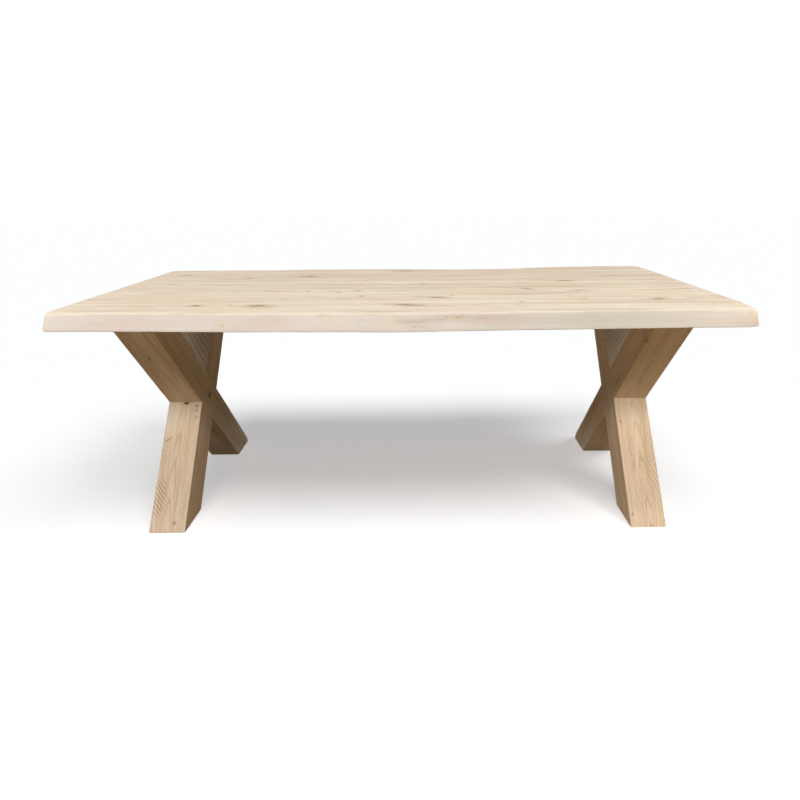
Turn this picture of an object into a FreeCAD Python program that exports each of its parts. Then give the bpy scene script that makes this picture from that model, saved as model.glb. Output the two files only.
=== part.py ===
"""Oak dining table: an edge-glued live-edge top on two X-shaped trestles.

Units are millimetres. +X runs along the top, +Y goes from the front edge to the back edge,
+Z is up. The origin lies on the floor under the middle of the table.

Each trestle is two leaning beams that cross in a half-lap joint. A beam is glued up from
three layers side by side along X. The rising beam goes from the front foot up to the back
arm and is unbroken on its -X side. The falling beam goes from the front arm down to the
back foot and is unbroken on its +X side. A flat steel plate lies flush in the arms' ends,
ties them together and carries the top.
"""
import FreeCAD, Part
import math
import os

Vector = FreeCAD.Vector

# ---------------------------------------------------------------- driving dimensions

# Whole table
table_height = 760.0
top_length = 2000.0
top_depth = 1050.0              # over both live edges, at their widest
top_thickness = 50.0

# Boards of the top
front_board_width = 195.0       # from the widest point of its live edge to its seam
back_board_width = 135.0        # the same
inner_board_count = 6           # they share what the two live-edged boards leave
end_rounding = 6.0              # radius along the sawn ends and at the four corners
lower_rounding = 4.0            # radius under the live edges
edge_spans = 24                 # steps that shape the length of a live edge
corner_spans = 6                # steps that shape each rounded corner

# Live edges, as stations along the top: share of half the length, inset of the edge from
# its widest line, how far its sloping face leans back, and radius of its upper arris.
front_edge = [
    (-1.00, 35.0, 30.0, 26.0),
    (-0.90, 37.0, 25.0, 15.0),
    (-0.80, 32.0, 25.0, 12.0),
    (-0.64, 23.0, 26.0, 11.0),
    (-0.48, 15.0, 18.0, 11.0),
    (-0.33, 12.0, 26.0, 11.0),
    (-0.17, 7.0, 26.0, 11.0),
    (0.00, 0.0, 20.0, 11.0),
    (0.10, 6.0, 17.0, 11.0),
    (0.25, 12.0, 13.0, 11.0),
    (0.48, 18.0, 20.0, 11.0),
    (0.68, 23.0, 31.0, 12.0),
    (0.83, 28.0, 33.0, 14.0),
    (0.92, 28.0, 35.0, 20.0),
    (1.00, 36.0, 32.0, 30.0),
]
back_edge = [
    (-1.00, 57.0, 20.0, 24.0),
    (-0.78, 60.0, 20.0, 12.0),
    (-0.56, 65.0, 20.0, 12.0),
    (-0.42, 49.0, 20.0, 12.0),
    (-0.28, 51.0, 21.0, 12.0),
    (-0.10, 49.0, 20.0, 12.0),
    (0.05, 62.0, 20.0, 12.0),
    (0.36, 68.0, 21.0, 12.0),
    (0.48, 48.0, 20.0, 12.0),
    (0.60, 16.0, 18.0, 12.0),
    (0.72, 5.0, 16.0, 12.0),
    (0.84, 0.0, 12.0, 12.0),
    (1.00, 2.0, 10.0, 20.0),
]

# Trestles
trestle_end_distance = 188.0    # from the end of the top to the middle of a trestle
foot_edge_distance = 213.0      # from the widest line of the top's edge to the middle of a foot
layer_thickness = 40.0          # three layers make the width of a beam
beam_depth = 120.0              # square to the beam's length
beam_arris = 2.0                # radius along the long edges of a beam

# Mounting plates
plate_thickness = 8.0
plate_width = 100.0
plate_overhang = 55.0           # past the outer side of each arm
plate_corner_radius = 12.0
plate_clearance = 0.3           # between a plate and the sides of its recess

# Countersunk wood screws that hold a plate to the arms
screw_radius = 3.0
screw_head_radius = 6.0
screw_head_height = 3.4
screw_length = 60.0
screw_tip = 7.0
screw_side_offset = 36.0        # from the middle of the trestle, along X
screw_edge_distance = 25.0      # from the inner side of the arm's end
screw_pitch = 42.0
screws_in_row = 2

# Bolts that hold the top to a plate, with their washers and threaded inserts
bolt_radius = 4.0
bolt_length = 25.0
bolt_head_across_flats = 13.0
bolt_head_height = 5.3
washer_radius = 12.0
washer_thickness = 2.0
washer_clearance = 0.3
insert_radius = 6.0
insert_length = 18.0
insert_clearance = 0.05         # between the bolt and the insert's bore
insert_hole_extra = 2.0         # hole goes on past the insert
slot_clearance = 0.5            # across a plate's slot, on each side of the bolt
slot_travel = 9.0               # room for the top to swell and shrink across its boards
bolt_side_offset = 30.0         # from the middle of the trestle, along X
bolt_end_margin = 28.0          # from the end of the plate
bolt_arm_distance = 107.0       # from the inner side of an arm's end

# Screw that pins a half-lap joint
lap_screw_radius = 4.0
lap_screw_length = 90.0
lap_screw_tip = 8.0
lap_screw_head_radius = 6.5
lap_screw_head_height = 8.0
lap_socket_across_flats = 6.0
lap_socket_depth = 4.0
lap_counterbore_radius = 7.5
lap_counterbore_depth = 12.0

hole_fit = 0.05                 # between a fastener and the hole that it fills

# ---------------------------------------------------------------- sizes that follow

underside = table_height - top_thickness
half_length = top_length / 2
beam_width = 3 * layer_thickness
lap_height = underside / 2
foot_middle = top_depth / 2 - foot_edge_distance     # the same for the middle of an arm's end
lean = math.atan2(foot_middle, lap_height)
level_half_depth = beam_depth / 2 / math.cos(lean)
arm_inner = foot_middle - level_half_depth
arm_outer = foot_middle + level_half_depth
plate_length = 2 * (arm_outer + plate_overhang)
front_seam = front_board_width - top_depth / 2
back_seam = top_depth / 2 - back_board_width
inner_board_width = (back_seam - front_seam) / inner_board_count
recess_floor = underside - plate_thickness
through_all = 2 * (top_length + top_depth + table_height)


# ---------------------------------------------------------------- small helpers

def box_between(low, high):
    """Box from its low corner to its high corner."""
    size = high - low
    return Part.makeBox(size.x, size.y, size.z, low)


def upright_cylinder(radius, x, y, z_low, z_high):
    """Round bar along Z."""
    return Part.makeCylinder(radius, z_high - z_low, Vector(x, y, z_low))


def rounded_corner(before, corner, after, radius):
    """Arc in the corner of a path: its start, its end and its edge."""
    towards = (corner - before).normalize()
    onwards = (after - corner).normalize()
    turn = towards.getAngle(onwards)
    setback = radius * math.tan(turn / 2)
    start = corner - towards * setback
    end = corner + onwards * setback
    curve = Part.BezierCurve()
    curve.setPoles([start, corner, end])
    curve.setWeight(2, math.cos(turn / 2))
    return start, end, curve.toShape()


def straight(start, end):
    return Part.LineSegment(start, end).toShape()


def hexagon_prism(across_flats, height):
    """Six-sided prism that stands on the XY plane, centred on Z."""
    corner = across_flats / 2 / math.cos(math.pi / 6)
    turns = [math.pi / 3 * i for i in range(7)]
    points = [Vector(corner * math.cos(a), corner * math.sin(a), 0) for a in turns]
    return Part.Face(Part.makePolygon(points)).extrude(Vector(0, 0, height))


def moved(shape, x, y, z):
    copy = shape.copy()
    copy.translate(Vector(x, y, z))
    return copy


def save(name, shape):
    shape.exportStep(os.path.join("parts", name + ".step"))


# ---------------------------------------------------------------- boards of the top

def edge_between(stations, share):
    """Inset, lean and arris of a live edge at a share of half the length, on a smooth curve."""
    last = len(stations) - 1
    i = 0
    while i < last - 1 and share > stations[i + 1][0]:
        i += 1
    here, there = stations[i], stations[i + 1]
    before, after = stations[max(i - 1, 0)], stations[min(i + 2, last)]
    span = there[0] - here[0]
    t = (share - here[0]) / span
    values = []
    for k in (1, 2, 3):
        slope_here = (there[k] - before[k]) / (there[0] - before[0]) * span
        slope_there = (after[k] - here[k]) / (after[0] - here[0]) * span
        values.append(
            (2 * t**3 - 3 * t**2 + 1) * here[k] + (t**3 - 2 * t**2 + t) * slope_here
            + (3 * t**2 - 2 * t**3) * there[k] + (t**3 - t**2) * slope_there)
    return values


def live_edge_section(x, seam, side, edge, trim=0.0):
    """Section of a live-edged board; side is -1 at the front and 1 at the back."""
    inset, lean_back, arris = edge
    low = underside + trim
    high = table_height - trim
    # The lower rounding cuts the face's tip off, so the tip stands out past the edge's reach.
    slope = math.atan2(lean_back, top_thickness)
    tip = lower_rounding * (math.tan(math.pi / 4 + slope / 2) - 1)
    reach = side * (top_depth / 2 - inset - trim + tip)
    seam_low = Vector(x, seam, low)
    lip = Vector(x, reach, low)
    crest = Vector(x, reach - side * lean_back, high)
    seam_high = Vector(x, seam, high)
    under_end, face_start, lower_arc = rounded_corner(seam_low, lip, crest, lower_rounding)
    face_end, flat_end, upper_arc = rounded_corner(lip, crest, seam_high, arris)
    edges = [
        straight(seam_low, under_end),
        lower_arc,
        straight(face_start, face_end),
        upper_arc,
        straight(flat_end, seam_high),
        straight(seam_high, seam_low),
    ]
    return Part.Wire(edges)


def live_edge_board(seam, side, stations):
    """Outer board with a straight seam and a naturally wavy, sloping outer edge."""
    straight_half = half_length - end_rounding
    sections = []
    for i in range(edge_spans + 1):
        share = 2 * i / edge_spans - 1
        edge = edge_between(stations, share)
        sections.append(live_edge_section(share * straight_half, seam, side, edge))
    board = Part.makeLoft(sections, True)
    for end in (-1, 1):
        edge = edge_between(stations, end)
        sections = []
        for i in range(corner_spans + 1):
            turn = math.pi / 2 * i / corner_spans
            x = end * (straight_half + end_rounding * math.sin(turn))
            trim = end_rounding * (1 - math.cos(turn))
            sections.append(live_edge_section(x, seam, side, edge, trim))
        board = board.fuse(Part.makeLoft(sections, True))
    return board


def inner_board(number):
    """Straight board between two seams, counted from the front."""
    low_y = front_seam + number * inner_board_width
    low = Vector(-half_length, low_y, underside)
    high = Vector(half_length, low_y + inner_board_width, table_height)
    board = box_between(low, high)
    end_edges = [e for e in board.Edges if abs(e.Vertexes[0].Point.y - e.Vertexes[-1].Point.y) > 0.001]
    return board.makeFillet(end_rounding, end_edges)


# ---------------------------------------------------------------- fasteners

def plate_screw_places(x_middle):
    """Where the plate's wood screws go, in both arms and both outer layers."""
    places = []
    for arm in (-1, 1):
        for side in (-1, 1):
            for i in range(screws_in_row):
                y = arm * (arm_inner + screw_edge_distance + i * screw_pitch)
                places.append((x_middle + side * screw_side_offset, y))
    return places


def wood_screw(x, y, fit=0.0):
    """Countersunk screw with its head flush in the plate's upper face, pointing down."""
    shank = screw_radius + fit
    head = screw_head_radius + fit
    top = underside
    neck = underside - screw_head_height
    tip = underside - screw_length
    outline = Part.makePolygon([
        Vector(0, 0, top),
        Vector(head, 0, top),
        Vector(shank, 0, neck),
        Vector(shank, 0, tip + screw_tip),
        Vector(0, 0, tip - fit),
        Vector(0, 0, top),
    ])
    solid = Part.Face(outline).revolve(Vector(0, 0, 0), Vector(0, 0, 1), 360)
    return moved(solid, x, y, 0)


def bolt_places(x_middle):
    """Where the top's bolts go: outside both arms and between them, in two rows."""
    end_row = plate_length / 2 - bolt_end_margin
    middle_row = arm_inner - bolt_arm_distance
    places = []
    for y in (-end_row, -middle_row, middle_row, end_row):
        for side in (-1, 1):
            places.append((x_middle + side * bolt_side_offset, y))
    return places


def top_bolt(x, y):
    """Hex-headed bolt that points up through washer and plate into its insert."""
    seat = recess_floor - washer_thickness
    head = hexagon_prism(bolt_head_across_flats, bolt_head_height)
    head.translate(Vector(x, y, seat - bolt_head_height))
    shank = upright_cylinder(bolt_radius, x, y, seat, seat + bolt_length)
    return head.fuse(shank)


def washer(x, y):
    seat = recess_floor - washer_thickness
    disc = upright_cylinder(washer_radius, x, y, seat, recess_floor)
    hole = upright_cylinder(bolt_radius + washer_clearance, x, y, seat, recess_floor)
    return disc.cut(hole)


def threaded_insert(x, y):
    top = underside + insert_length
    body = upright_cylinder(insert_radius, x, y, underside, top)
    bore = upright_cylinder(bolt_radius + insert_clearance, x, y, underside, top)
    return body.cut(bore)


def insert_hole(x, y):
    depth = insert_length + insert_hole_extra
    return upright_cylinder(insert_radius + hole_fit, x, y, underside, underside + depth)


def lap_screw(x_middle, fit=0.0):
    """Socket-headed screw through the half-lap, sunk in the +X face and pointing to -X."""
    seat = x_middle + beam_width / 2 - lap_counterbore_depth
    tip = seat - lap_screw_length
    outline = Part.makePolygon([
        Vector(tip - fit, 0, 0),
        Vector(tip + lap_screw_tip, 0, lap_screw_radius + fit),
        Vector(seat, 0, lap_screw_radius + fit),
        Vector(seat, 0, lap_screw_head_radius),
        Vector(seat + lap_screw_head_height, 0, lap_screw_head_radius),
        Vector(seat + lap_screw_head_height, 0, 0),
        Vector(tip - fit, 0, 0),
    ])
    solid = Part.Face(outline).revolve(Vector(0, 0, 0), Vector(1, 0, 0), 360)
    socket = hexagon_prism(lap_socket_across_flats, lap_socket_depth)
    socket.rotate(Vector(0, 0, 0), Vector(0, 1, 0), 90)
    socket.translate(Vector(seat + lap_screw_head_height - lap_socket_depth, 0, 0))
    return moved(solid.cut(socket), 0, 0, lap_height)


def lap_screw_hole(x_middle):
    """Counterbore and pilot hole for the lap screw."""
    face = x_middle + beam_width / 2
    start = Vector(face - lap_counterbore_depth, 0, lap_height)
    counterbore = Part.makeCylinder(lap_counterbore_radius, lap_counterbore_depth, start, Vector(1, 0, 0))
    return counterbore.fuse(lap_screw(x_middle, hole_fit))


# ---------------------------------------------------------------- mounting plate

def mounting_plate(x_middle):
    """Flat steel plate across both arms, slotted across the grain for the top's bolts."""
    low = Vector(x_middle - plate_width / 2, -plate_length / 2, recess_floor)
    high = Vector(x_middle + plate_width / 2, plate_length / 2, underside)
    blank = box_between(low, high)
    corners = [e for e in blank.Edges if abs(e.Vertexes[0].Point.z - e.Vertexes[-1].Point.z) > 0.001]
    plate = blank.makeFillet(plate_corner_radius, corners)
    holes = [wood_screw(x, y, hole_fit) for x, y in plate_screw_places(x_middle)]
    for x, y in bolt_places(x_middle):
        radius = bolt_radius + slot_clearance
        holes.append(box_between(
            Vector(x - radius, y - slot_travel / 2, recess_floor),
            Vector(x + radius, y + slot_travel / 2, underside)))
        for end in (-1, 1):
            holes.append(upright_cylinder(radius, x, y + end * slot_travel / 2, recess_floor, underside))
    return plate.cut(holes)


def plate_recess(x_middle):
    """Room for the plate in the ends of the arms."""
    half_width = plate_width / 2 + plate_clearance
    low = Vector(x_middle - half_width, -plate_length, recess_floor)
    high = Vector(x_middle + half_width, plate_length, table_height)
    return box_between(low, high)


# ---------------------------------------------------------------- beams of a trestle

def beam(x_middle, direction, arris):
    """Beam cut level at both ends; direction is 1 when it rises to the back, else -1."""
    length = 4 * table_height
    low = Vector(-beam_width / 2, -beam_depth / 2, -length / 2)
    high = Vector(beam_width / 2, beam_depth / 2, length / 2)
    bar = box_between(low, high)
    if arris > 0:
        long_edges = [e for e in bar.Edges if e.Length > length - 1]
        bar = bar.makeFillet(arris, long_edges)
    bar.rotate(Vector(0, 0, 0), Vector(1, 0, 0), -direction * math.degrees(lean))
    bar.translate(Vector(x_middle, 0, lap_height))
    level = box_between(
        Vector(x_middle - beam_width, -through_all, 0),
        Vector(x_middle + beam_width, through_all, underside))
    return bar.common(level)


def half_space(x_middle, side):
    """Everything on one side of the middle plane of a trestle; side is -1 or 1."""
    low_x = x_middle if side > 0 else x_middle - beam_width
    low = Vector(low_x, -through_all, -through_all)
    return box_between(low, low + Vector(beam_width, 2 * through_all, 2 * through_all))


def beam_layers(x_middle, direction):
    """Layers of one beam, from -X to +X, with the lap, the recess and the screw holes cut."""
    open_side = direction
    crossing = beam(x_middle, -direction, 0).common(half_space(x_middle, open_side))
    cuts = [crossing, plate_recess(x_middle), lap_screw_hole(x_middle)]
    cuts += [wood_screw(x, y, hole_fit) for x, y in plate_screw_places(x_middle)]
    whole = beam(x_middle, direction, beam_arris).cut(cuts)
    layers = []
    for i in range(3):
        low_x = x_middle - beam_width / 2 + i * layer_thickness
        low = Vector(low_x, -through_all, -through_all)
        slab = box_between(low, low + Vector(layer_thickness, 2 * through_all, 2 * through_all))
        layers.append(whole.common(slab))
    return layers


def save_beam(prefix, x_middle, direction):
    """Save a beam: a whole layer, a notched core, and a layer that the lap parts in two."""
    layers = beam_layers(x_middle, direction)
    whole, core, parted = layers if direction > 0 else reversed(layers)
    foot, arm = sorted(parted.Solids, key=lambda solid: solid.CenterOfMass.z)
    save(prefix + "_whole_layer", whole.Solids[0])
    save(prefix + "_core_layer", core.Solids[0])
    save(prefix + "_foot_layer", foot)
    save(prefix + "_arm_layer", arm)


# ---------------------------------------------------------------- the table

def save_top(trestle_middles):
    holes = []
    for x_middle in trestle_middles:
        holes += [insert_hole(x, y) for x, y in bolt_places(x_middle)]
    save("front_live_edge_board", live_edge_board(front_seam, -1, front_edge).cut(holes))
    save("back_live_edge_board", live_edge_board(back_seam, 1, back_edge).cut(holes))
    for number in range(inner_board_count):
        save("inner_board_%d" % (number + 1), inner_board(number).cut(holes))


def save_trestle(name, x_middle):
    save_beam(name + "_rising_beam", x_middle, 1)
    save_beam(name + "_falling_beam", x_middle, -1)
    save(name + "_mounting_plate", mounting_plate(x_middle))
    save(name + "_lap_screw", lap_screw(x_middle))
    screws = [wood_screw(x, y) for x, y in plate_screw_places(x_middle)]
    save(name + "_plate_screws", Part.makeCompound(screws))
    places = bolt_places(x_middle)
    save(name + "_top_bolts", Part.makeCompound([top_bolt(x, y) for x, y in places]))
    save(name + "_bolt_washers", Part.makeCompound([washer(x, y) for x, y in places]))
    save(name + "_threaded_inserts", Part.makeCompound([threaded_insert(x, y) for x, y in places]))


def main():
    os.makedirs("parts", exist_ok=True)
    right_middle = half_length - trestle_end_distance
    save_top([-right_middle, right_middle])
    save_trestle("left", -right_middle)
    save_trestle("right", right_middle)


main()
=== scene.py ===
"""Looks of the oak dining table: worn oak beams, a limed live-edge top and steel fittings.

All sizes are metres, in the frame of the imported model: +X along the top, +Y to the back,
+Z up, the origin on the floor under the middle of the table.
"""
import math
import random

import bmesh
import bpy
from mathutils import Euler, Matrix, Vector, noise
from mathutils.bvhtree import BVHTree


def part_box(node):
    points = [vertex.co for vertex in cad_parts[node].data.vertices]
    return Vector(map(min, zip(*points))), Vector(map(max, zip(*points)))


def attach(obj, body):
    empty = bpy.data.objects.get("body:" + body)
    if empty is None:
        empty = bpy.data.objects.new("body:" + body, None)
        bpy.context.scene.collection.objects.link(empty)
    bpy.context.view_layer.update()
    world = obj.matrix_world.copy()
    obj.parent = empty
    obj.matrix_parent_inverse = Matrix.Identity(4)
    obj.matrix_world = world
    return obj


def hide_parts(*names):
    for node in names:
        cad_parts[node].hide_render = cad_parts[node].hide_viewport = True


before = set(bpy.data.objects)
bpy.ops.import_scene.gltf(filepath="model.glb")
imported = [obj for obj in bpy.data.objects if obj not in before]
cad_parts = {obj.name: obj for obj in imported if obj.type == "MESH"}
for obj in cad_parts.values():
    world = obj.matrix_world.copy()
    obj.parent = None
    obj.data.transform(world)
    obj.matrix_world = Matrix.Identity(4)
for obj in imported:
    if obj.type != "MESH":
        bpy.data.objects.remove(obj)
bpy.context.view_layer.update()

MM = 0.001

# -------------------- sizes taken from the model

TABLE_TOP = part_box("inner_board_1")[1].z
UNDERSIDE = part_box("inner_board_1")[0].z
HALF_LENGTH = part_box("inner_board_1")[1].x
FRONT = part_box("front_live_edge_board")[0].y
LAP_HEIGHT = UNDERSIDE / 2
BEAM_HALF = 60 * MM
TRESTLES = {}
for side in ("left", "right"):
    low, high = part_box(side + "_mounting_plate")
    TRESTLES[side] = (low.x + high.x) / 2
ARM_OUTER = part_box("left_rising_beam_whole_layer")[1].y
# The beams' lean from upright in radians, found step by step from the reach of an arm.
LEAN = 0.7
for _ in range(30):
    LEAN = math.atan2(ARM_OUTER - BEAM_HALF / math.cos(LEAN), LAP_HEIGHT)
# Where a toe meets the floor and where it starts to be blunt, up along the beam from the lap.
TOE_END = -(LAP_HEIGHT + BEAM_HALF * math.sin(LEAN)) / math.cos(LEAN)
TOE_START = TOE_END + 44 * MM


# -------------------- small helpers

def linear(hex_colour):
    """Linear colour of an sRGB hex value such as #e6d9c7."""
    parts = [int(hex_colour[i:i + 2], 16) / 255 for i in (1, 3, 5)]
    return [p / 12.92 if p <= 0.04045 else ((p + 0.055) / 1.055) ** 2.4 for p in parts] + [1.0]


def add(tree, kind, settings=None, inputs=None):
    """Add a node with its settings; an input is a value, a socket, or a node's first output."""
    node = tree.nodes.new(kind)
    for name, value in (settings or {}).items():
        setattr(node, name, value)
    for key, value in (inputs or {}).items():
        if isinstance(value, bpy.types.Node):
            value = value.outputs[0]
        if isinstance(value, bpy.types.NodeSocket):
            tree.links.new(value, node.inputs[key])
        else:
            node.inputs[key].default_value = value
    return node


def bare_tree(owner):
    """Empty node tree of a material or a world."""
    owner.use_nodes = True
    owner.node_tree.nodes.clear()
    return owner.node_tree


# Settings that many nodes share: a Map Range that eases in and out, and a product.
EASED = {"interpolation_type": "SMOOTHSTEP"}
MULTIPLY = {"operation": "MULTIPLY"}
# A Mix node's colour sockets, under and over, and its mixed colour.
MIX_UNDER, MIX_OVER, MIX_RESULT = 6, 7, 2


def object_from(bm, name):
    """Turn a bmesh into an object that stands at the origin."""
    mesh = bpy.data.meshes.new(name)
    bm.to_mesh(mesh)
    bm.free()
    thing = bpy.data.objects.new(name, mesh)
    bpy.context.scene.collection.objects.link(thing)
    return thing


def closed_copy(node):
    """Closed copy of a CAD node, its loose triangles joined and its old shading dropped."""
    bm = bmesh.new()
    bm.from_mesh(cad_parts[node].data)
    # Joining points a thousandth of a millimetre apart would fold its finest triangles up.
    bmesh.ops.remove_doubles(bm, verts=bm.verts, dist=0.0005 * MM)
    for layer in list(bm.loops.layers.uv):
        bm.loops.layers.uv.remove(layer)
    piece = object_from(bm, node + "_oak")
    if "custom_normal" in piece.data.attributes:
        piece.data.attributes.remove(piece.data.attributes["custom_normal"])
    return piece


def bake_modifiers(piece):
    """Turn a piece and its modifiers into a plain mesh."""
    bpy.context.view_layer.update()
    graph = bpy.context.evaluated_depsgraph_get()
    mesh = bpy.data.meshes.new_from_object(piece.evaluated_get(graph))
    piece.modifiers.clear()
    old = piece.data
    piece.data = mesh
    bpy.data.meshes.remove(old)


def carve(piece, cutter, operation):
    """Cut a closed mesh with another."""
    modifier = piece.modifiers.new("carve", "BOOLEAN")
    modifier.solver = "MANIFOLD"
    modifier.operation = operation
    modifier.object = cutter
    bake_modifiers(piece)


def drop(thing):
    """Remove a cutter that has done its work."""
    mesh = thing.data
    bpy.data.objects.remove(thing)
    bpy.data.meshes.remove(mesh)


def tube(rings):
    """Closed bmesh over rings of points, each ring with as many points as the next."""
    bm = bmesh.new()
    loops = [[bm.verts.new(p) for p in ring] for ring in rings]
    count = len(rings[0])
    for here, there in zip(loops, loops[1:]):
        for i in range(count):
            j = (i + 1) % count
            bm.faces.new((here[i], here[j], there[j], there[i]))
    bm.faces.new(list(reversed(loops[0])))
    bm.faces.new(loops[-1])
    bmesh.ops.recalc_face_normals(bm, faces=bm.faces)
    return bm


def smooth_by_angle(piece, degrees=32):
    """Smooth shading that keeps flat faces flat, and corners over so many degrees sharp."""
    for face in piece.data.polygons:
        face.use_smooth = True
    piece.data.set_sharp_from_angle(angle=math.radians(degrees))
    modifier = piece.modifiers.new("flat faces first", "WEIGHTED_NORMAL")
    modifier.keep_sharp = True
    modifier.weight = 50
    bake_modifiers(piece)


# -------------------- wear and relief of the oak

def beam_axes(x_middle, direction):
    """Frame of a beam at its lap: X stays, Z runs up along the beam, Y across it."""
    turn = Matrix.Rotation(-direction * LEAN, 4, "X")
    return Matrix.Translation((x_middle, 0, LAP_HEIGHT)) @ turn


# The four arrises of a beam in turn, the steps round an arris and across a face, and how much of
# a face's half width its flat points span.
ARRISES = ((1, 1), (-1, 1), (-1, -1), (1, -1))
ARRIS_STEPS = 4
FACE_STEPS = 6
FACE_SPAN = 0.93
# An arris in mm: its eased radius, how far that wanders, and how deep a knock goes where the
# noise passes a limit.
EASED_RADIUS = 3.0
RADIUS_WANDER = 0.6
KNOCK_DEPTH = 5.0
KNOCK_LIMIT = 0.38


def worn_bar(x_middle, direction, seed, toe):
    """Bar a hair inside the beam: hand-eased arrises, and a toe blunted by so many millimetres."""
    axes = beam_axes(x_middle, direction)
    shift = Vector((seed * 3.7, seed * 1.3, 0))
    rings = []
    # A ring every 8 mm, and closer ones round the toe.
    stations = [i * 8 * MM for i in range(-95, 96)] + [TOE_END + i * 3 * MM for i in range(-1, 15)]
    for u in sorted(stations):
        outline = []
        for corner, (sx, sy) in enumerate(ARRISES):
            wander = noise.noise(Vector((u * 9, corner * 5.0, 0)) + shift)
            knock = max(0.0, noise.noise(Vector((u * 22, corner * 7.0, 4)) + shift) - KNOCK_LIMIT)
            radius = (EASED_RADIUS + RADIUS_WANDER * wander + KNOCK_DEPTH * knock) * MM
            start = math.atan2(sy, sx) - math.pi / 4
            for k in range(ARRIS_STEPS + 1):
                turn = start + math.pi / 2 * k / ARRIS_STEPS
                outline.append((
                    sx * (BEAM_HALF - radius) + radius * math.cos(turn),
                    sy * (BEAM_HALF - radius) + radius * math.sin(turn)))
            after = ARRISES[(corner + 1) % 4]
            for k in range(1, FACE_STEPS):
                outline.append([
                    BEAM_HALF * here if here == there else
                    BEAM_HALF * FACE_SPAN * (here + (there - here) * k / FACE_STEPS)
                    for here, there in zip((sx, sy), after)])
        # The toe's nose is a quarter of an ellipse, on the beam's outer side.
        past = min(1.0, max(0.0, (TOE_START - u) / (TOE_START - TOE_END)))
        nose = toe * MM * (1 - math.sqrt(1 - past ** 2))
        points = []
        for x, y in outline:
            hollow = 0.06 + 0.10 * (1 + noise.noise(Vector((u * 6, x * 30, y * 30)) + shift))
            scale = 1 - hollow * MM / BEAM_HALF
            outer = max(0.0, -direction * y / BEAM_HALF)
            points.append(axes @ Vector((x * scale, y * scale + direction * nose * outer, u)))
        rings.append(points)
    return object_from(tube(rings), "worn_bar")


def crest_of(tree, x, side, outside):
    """Where a live-edged board's flat top ends, found from its mesh by halving."""
    # The top is flat 95 mm in from the widest line. Fourteen halvings of that come within a
    # hundredth of a millimetre.
    flat, sloping = outside - side * 95 * MM, outside
    for _ in range(14):
        y = (flat + sloping) / 2
        hit = tree.ray_cast(Vector((x, y, 1.0)), Vector((0, 0, -1)), 2.0)[0]
        if hit is not None and hit.z > TABLE_TOP - 0.03 * MM:
            flat = y
        else:
            sloping = y
    return flat


# Relief of a live edge, for the swell of the trunk, the ripple under its bark and the strokes of
# the drawknife: waves per metre along it, waves up it, the noise's own layer, and depth in mm.
EDGE_RELIEF = ((9, 1, 0, 0.9), (24, 2.5, 3, 0.45), (70, 5, 8, 0.12))
# Rings along a live edge, and its least wear in mm.
EDGE_RINGS = 400
EDGE_LEAST = 0.04


def live_edge_skin(node, side, seed, hollows, corners):
    """Swept solid a hair inside a live-edged board, with the hollows of bark and drawknife."""
    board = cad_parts[node]
    tree = BVHTree.FromPolygons(
        [v.co for v in board.data.vertices], [list(p.vertices) for p in board.data.polygons])
    low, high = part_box(node)
    outside, seam = (high.y, low.y) if side > 0 else (low.y, high.y)
    # Rays from inside the board meet its sloping face coarsely and its arris finely.
    angles = [math.radians(a) for a in [*range(0, 54, 6), *range(54, 92, 2)]]
    shift = Vector((seed * 2.9, 0, seed * 1.7))
    rings = []
    for i in range(EDGE_RINGS + 1):
        # The skin runs 10 mm past the ends, and copies there what the board is 7 mm inside them.
        x = (2 * i / EDGE_RINGS - 1) * (HALF_LENGTH + 10 * MM)
        inside = max(-HALF_LENGTH + 7 * MM, min(HALF_LENGTH - 7 * MM, x))
        crest = crest_of(tree, inside, side, outside)
        middle = Vector((inside, crest - side * 5 * MM, UNDERSIDE + 7 * MM))
        ring = []
        for a in angles:
            ray = Vector((0, side * math.cos(a), math.sin(a)))
            hit, normal, _, _ = tree.ray_cast(middle, ray, 1.0)
            rise = (hit.z - middle.z) / (TABLE_TOP - middle.z)
            face = max(0.0, 1 - rise ** 6)
            depth = EDGE_LEAST + face * sum(
                deep * (0.5 + 0.5 * noise.noise(Vector((x * along, rise * up, layer)) + shift))
                for along, up, layer, deep in EDGE_RELIEF)
            for x_hollow, reach, deep in hollows:
                depth += face * deep * math.exp(
                    -((x - x_hollow) / reach) ** 2 - ((rise - 0.5) / 0.4) ** 2)
            for end, reach, worn in corners:
                depth += worn * max(0.0, 1 - (HALF_LENGTH - end * x) / (reach * MM)) ** 2
            point = hit - normal * depth * MM
            ring.append(Vector((x, point.y, point.z)))
        # Past the seam and the underside the skin is larger than the board.
        top_inside = Vector((x, seam - side * 2 * MM, TABLE_TOP - EDGE_LEAST * MM))
        bottom_inside = Vector((x, seam - side * 2 * MM, UNDERSIDE - 10 * MM))
        bottom_outside = Vector((x, ring[0].y + side * 3 * MM, UNDERSIDE - 10 * MM))
        rings.append([bottom_outside] + ring + [top_inside, bottom_inside])
    return object_from(tube(rings), "live_edge_skin")


def crack(start, end, normal, width, depth, seed):
    """Thin wedge that opens a drying check between two points on a surface."""
    rng = random.Random(seed)
    start, end, normal = Vector(start), Vector(end), Vector(normal).normalized()
    along = end - start
    across = normal.cross(along).normalized()
    rings = []
    parts = 10
    for i in range(parts + 1):
        t = i / parts
        open_share = max(0.08, math.sin(math.pi * t) ** 0.6)
        centre = start + along * t + across * rng.uniform(-0.4, 0.4) * width * 1.5
        half = across * width / 2 * open_share
        above = normal * MM
        rings.append([
            centre + half + above, centre - half + above, centre - half,
            centre - normal * depth * open_share, centre + half])
    return tube(rings)


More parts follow.
